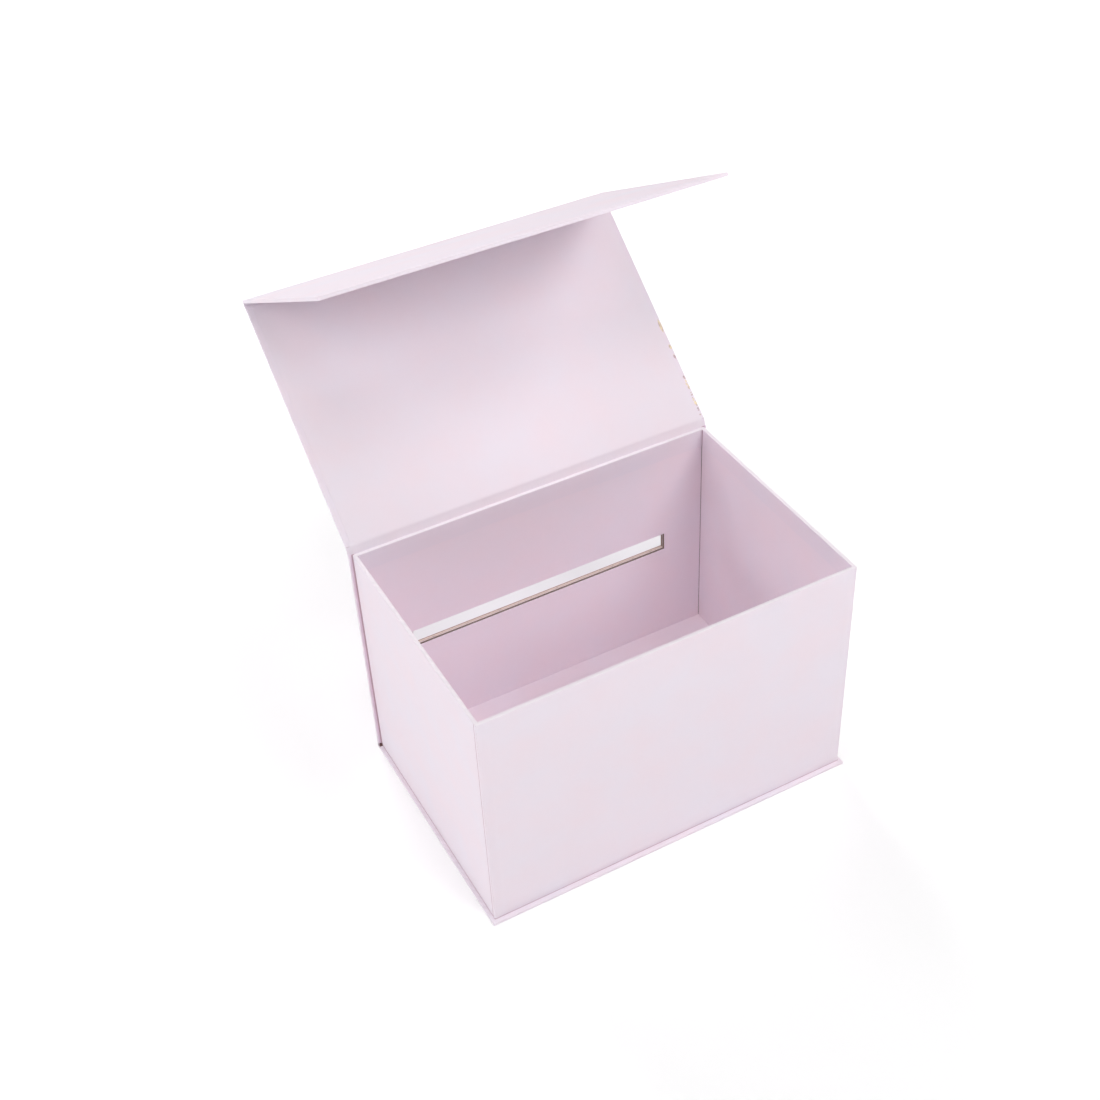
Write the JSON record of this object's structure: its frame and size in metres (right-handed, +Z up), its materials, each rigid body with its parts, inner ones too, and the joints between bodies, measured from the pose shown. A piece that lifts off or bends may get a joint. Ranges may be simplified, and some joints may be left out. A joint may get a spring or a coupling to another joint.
{
  "type": "flower box",
  "caption": "Deep paper-wrapped greyboard gift box with a book-style hinged lid, a full-height magnetic front flap and a letter slot through its back, standing open.",
  "frame": {"origin": "middle of the tray's footprint, on the underside of the cover's base", "axes": "+X to the box's right, +Y towards its back and hinge, +Z up; drawn standing open"},
  "size_m": [0.3056, 0.3606, 0.4262],
  "materials": {
    "wrap_paper": "matte",
    "lining_paper": "matte",
    "greyboard": "matte",
    "stay_tape": "matte",
    "magnet": "satin"
  },
  "bodies": {
    "tray": {"tray_front_board": "greyboard", "tray_back_board": "greyboard", "tray_left_board": "greyboard", "tray_right_board": "greyboard", "tray_floor_board": "greyboard", "tray_magnet_left": "magnet", "tray_magnet_right": "magnet", "corner_stay_back_right": "stay_tape", "corner_stay_back_left": "stay_tape", "corner_stay_front_left": "stay_tape", "corner_stay_front_right": "stay_tape", "tray_wrap": "wrap_paper", "tray_lining_front": "lining_paper", "tray_lining_back": "lining_paper", "tray_lining_left": "lining_paper", "tray_lining_right": "lining_paper", "tray_lining_floor": "lining_paper", "base_board": "greyboard", "base_wrap": "wrap_paper", "spine_board": "greyboard", "spine_wrap": "wrap_paper", "base_hinge_strip": "wrap_paper", "lid_hinge_strip": "wrap_paper", "lid_hinge_lining": "lining_paper"},
    "lid": {"lid_board": "greyboard", "lid_wrap": "wrap_paper", "lid_lining": "lining_paper"},
    "flap_crease": {"flap_hinge_strip": "wrap_paper", "flap_hinge_lining": "lining_paper"},
    "flap": {"flap_board": "greyboard", "flap_wrap": "wrap_paper", "flap_lining": "lining_paper", "flap_magnet_left": "magnet", "flap_magnet_right": "magnet"}
  },
  "joints": [
    {"name": "lid_hinge", "type": "hinge", "parent": "tray", "child": "lid", "pos_m": [0, 0.1012, 0.2026], "axis": [-1, 0, 0], "range_deg": [-140.5, 67]},
    {"name": "flap_fold", "type": "hinge", "parent": "lid", "child": "flap_crease", "pos_m": [0, 0.25444, 0.32893], "axis": [1, 0, 0], "range_deg": [-22.9, 11]},
    {"name": "flap_hinge", "type": "hinge", "parent": "flap_crease", "child": "flap", "pos_m": [0, 0.2563, 0.33247], "axis": [1, 0, 0], "range_deg": [-112.85, 0]}
  ],
  "couplings": [
    {"joint": "flap_fold", "follows": "lid_hinge", "ratio": 0.16263}
  ]
}
